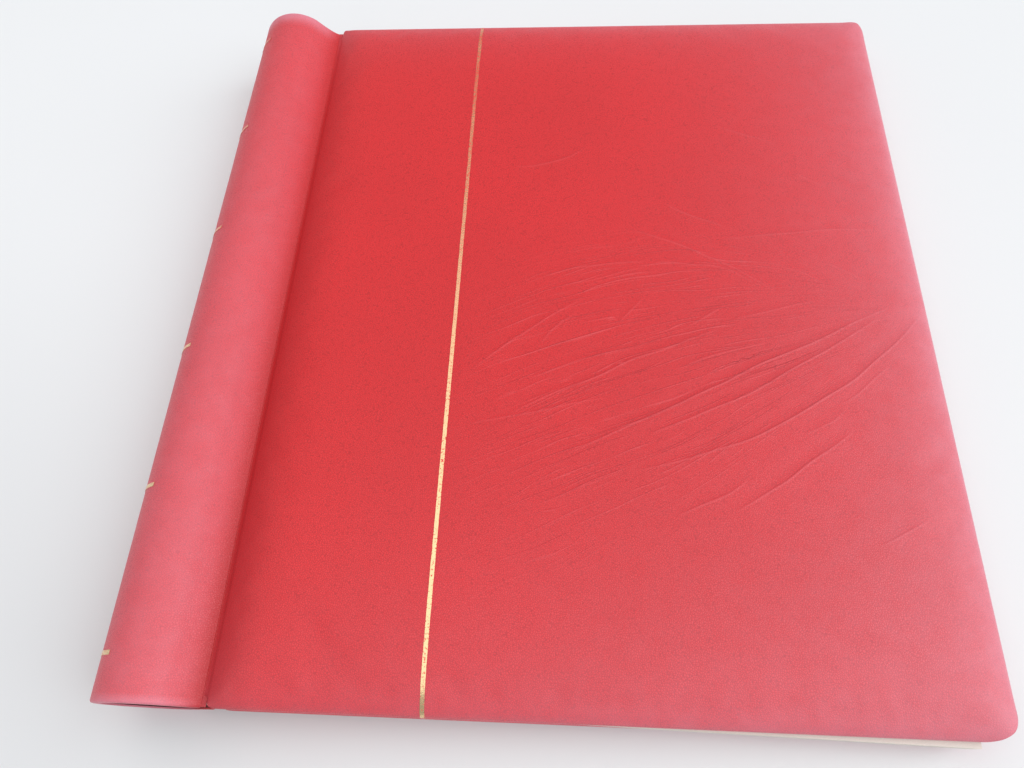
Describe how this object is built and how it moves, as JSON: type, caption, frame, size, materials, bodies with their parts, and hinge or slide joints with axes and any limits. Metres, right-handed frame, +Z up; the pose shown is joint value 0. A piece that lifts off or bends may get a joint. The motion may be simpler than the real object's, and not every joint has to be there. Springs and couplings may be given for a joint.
{
  "type": "stamp album",
  "caption": "Padded red spring-back stamp album: a round spring spine grips hinged card leaves between two padded covers that open on leather joints.",
  "frame": {"origin": "middle of the closed album's footprint on the table that it lies on, back cover down", "axes": "+Y along the spine towards the head, +X from the spine towards the fore-edge, +Z up out of the front cover"},
  "size_m": [0.2926, 0.319, 0.035],
  "materials": {
    "leatherette_red": "fine-grained glazed red leatherette, satin",
    "gold_foil": "hot-stamped gold foil, satin",
    "grey_board": "matt grey board",
    "foam": "matt foam padding",
    "endpaper": "matt cream endpaper",
    "album_card": "matt pale cream card",
    "glassine": "smooth translucent glassine",
    "spring_steel": "blued spring steel",
    "pressboard": "dense pressboard",
    "lining_cloth": "dark red book cloth",
    "lever_cloth": "dark red cloth over steel strip"
  },
  "bodies": {
    "back_cover": {"back_board": "grey_board", "back_padding": "foam", "back_skin": "leatherette_red", "back_lining": "endpaper"},
    "spine": {"spine_spring": "spring_steel", "spine_former": "pressboard", "spine_skin": "leatherette_red", "spine_lining": "lining_cloth", "spine_gold_bands": "gold_foil", "front_lever": "lever_cloth", "back_lever": "lever_cloth", "leaf_guards": "album_card"},
    "front_cover": {"front_board": "grey_board", "front_padding": "foam", "front_skin": "leatherette_red", "front_lining": "endpaper", "front_gold_line": "gold_foil"},
    "leaf_01_body": {"leaf_01": "album_card", "interleaf_01": "glassine"},
    "leaf_02_body": {"leaf_02": "album_card", "interleaf_02": "glassine"},
    "leaf_03_body": {"leaf_03": "album_card", "interleaf_03": "glassine"},
    "leaf_04_body": {"leaf_04": "album_card", "interleaf_04": "glassine"},
    "leaf_05_body": {"leaf_05": "album_card", "interleaf_05": "glassine"},
    "leaf_06_body": {"leaf_06": "album_card", "interleaf_06": "glassine"},
    "leaf_07_body": {"leaf_07": "album_card", "interleaf_07": "glassine"},
    "leaf_08_body": {"leaf_08": "album_card", "interleaf_08": "glassine"},
    "leaf_09_body": {"leaf_09": "album_card", "interleaf_09": "glassine"},
    "leaf_10_body": {"leaf_10": "album_card", "interleaf_10": "glassine"}
  },
  "joints": [
    {"name": "back_cover_hinge", "type": "hinge", "parent": "back_cover", "child": "spine", "pos_m": [-0.10811, 0.0009, 0.01126], "axis": [0, -1, 0], "range_deg": [0, 90]},
    {"name": "front_cover_hinge", "type": "hinge", "parent": "spine", "child": "front_cover", "pos_m": [-0.10777, 0.0009, 0.02246], "axis": [0, -1, 0], "range_deg": [0, 90]},
    {"name": "leaf_01_fold", "type": "hinge", "parent": "spine", "child": "leaf_01_body", "pos_m": [-0.10335, 0.00066, 0.01997], "axis": [-0.0174, -0.9998, 0.0005], "range_deg": [0, 81]},
    {"name": "leaf_02_fold", "type": "hinge", "parent": "spine", "child": "leaf_02_body", "pos_m": [-0.10267, 0.00065, 0.01925], "axis": [-0.0174, -0.9998, 0.0005], "range_deg": [0, 65.7]},
    {"name": "leaf_03_fold", "type": "hinge", "parent": "spine", "child": "leaf_03_body", "pos_m": [-0.10199, 0.00064, 0.01853], "axis": [-0.0174, -0.9998, 0.0005], "range_deg": [0, 50.4]},
    {"name": "leaf_04_fold", "type": "hinge", "parent": "spine", "child": "leaf_04_body", "pos_m": [-0.10131, 0.00063, 0.0178], "axis": [-0.0174, -0.9998, 0.0005], "range_deg": [0, 35.1]},
    {"name": "leaf_05_fold", "type": "hinge", "parent": "spine", "child": "leaf_05_body", "pos_m": [-0.10063, 0.00062, 0.01708], "axis": [-0.0174, -0.9998, 0.0005], "range_deg": [0, 19.8]},
    {"name": "leaf_06_fold", "type": "hinge", "parent": "spine", "child": "leaf_06_body", "pos_m": [-0.10066, 0.00062, 0.01618], "axis": [-0.0174, -0.9998, 0.0005], "range_deg": [-19.8, 0]},
    {"name": "leaf_07_fold", "type": "hinge", "parent": "spine", "child": "leaf_07_body", "pos_m": [-0.10138, 0.00063, 0.01551], "axis": [-0.0174, -0.9998, 0.0005], "range_deg": [-35.1, 0]},
    {"name": "leaf_08_fold", "type": "hinge", "parent": "spine", "child": "leaf_08_body", "pos_m": [-0.1021, 0.00064, 0.01483], "axis": [-0.0174, -0.9998, 0.0005], "range_deg": [-50.4, 0]},
    {"name": "leaf_09_fold", "type": "hinge", "parent": "spine", "child": "leaf_09_body", "pos_m": [-0.10282, 0.00065, 0.01415], "axis": [-0.0174, -0.9998, 0.0005], "range_deg": [-65.7, 0]},
    {"name": "leaf_10_fold", "type": "hinge", "parent": "spine", "child": "leaf_10_body", "pos_m": [-0.10355, 0.00066, 0.01347], "axis": [-0.0174, -0.9998, 0.0005], "range_deg": [-81, 0]}
  ],
  "couplings": [
    {"joint": "leaf_01_fold", "follows": "front_cover_hinge", "ratio": 0.9},
    {"joint": "leaf_02_fold", "follows": "front_cover_hinge", "ratio": 0.73},
    {"joint": "leaf_03_fold", "follows": "front_cover_hinge", "ratio": 0.56},
    {"joint": "leaf_04_fold", "follows": "front_cover_hinge", "ratio": 0.39},
    {"joint": "leaf_05_fold", "follows": "front_cover_hinge", "ratio": 0.22},
    {"joint": "leaf_06_fold", "follows": "back_cover_hinge", "ratio": -0.22},
    {"joint": "leaf_07_fold", "follows": "back_cover_hinge", "ratio": -0.39},
    {"joint": "leaf_08_fold", "follows": "back_cover_hinge", "ratio": -0.56},
    {"joint": "leaf_09_fold", "follows": "back_cover_hinge", "ratio": -0.73},
    {"joint": "leaf_10_fold", "follows": "back_cover_hinge", "ratio": -0.9}
  ]
}
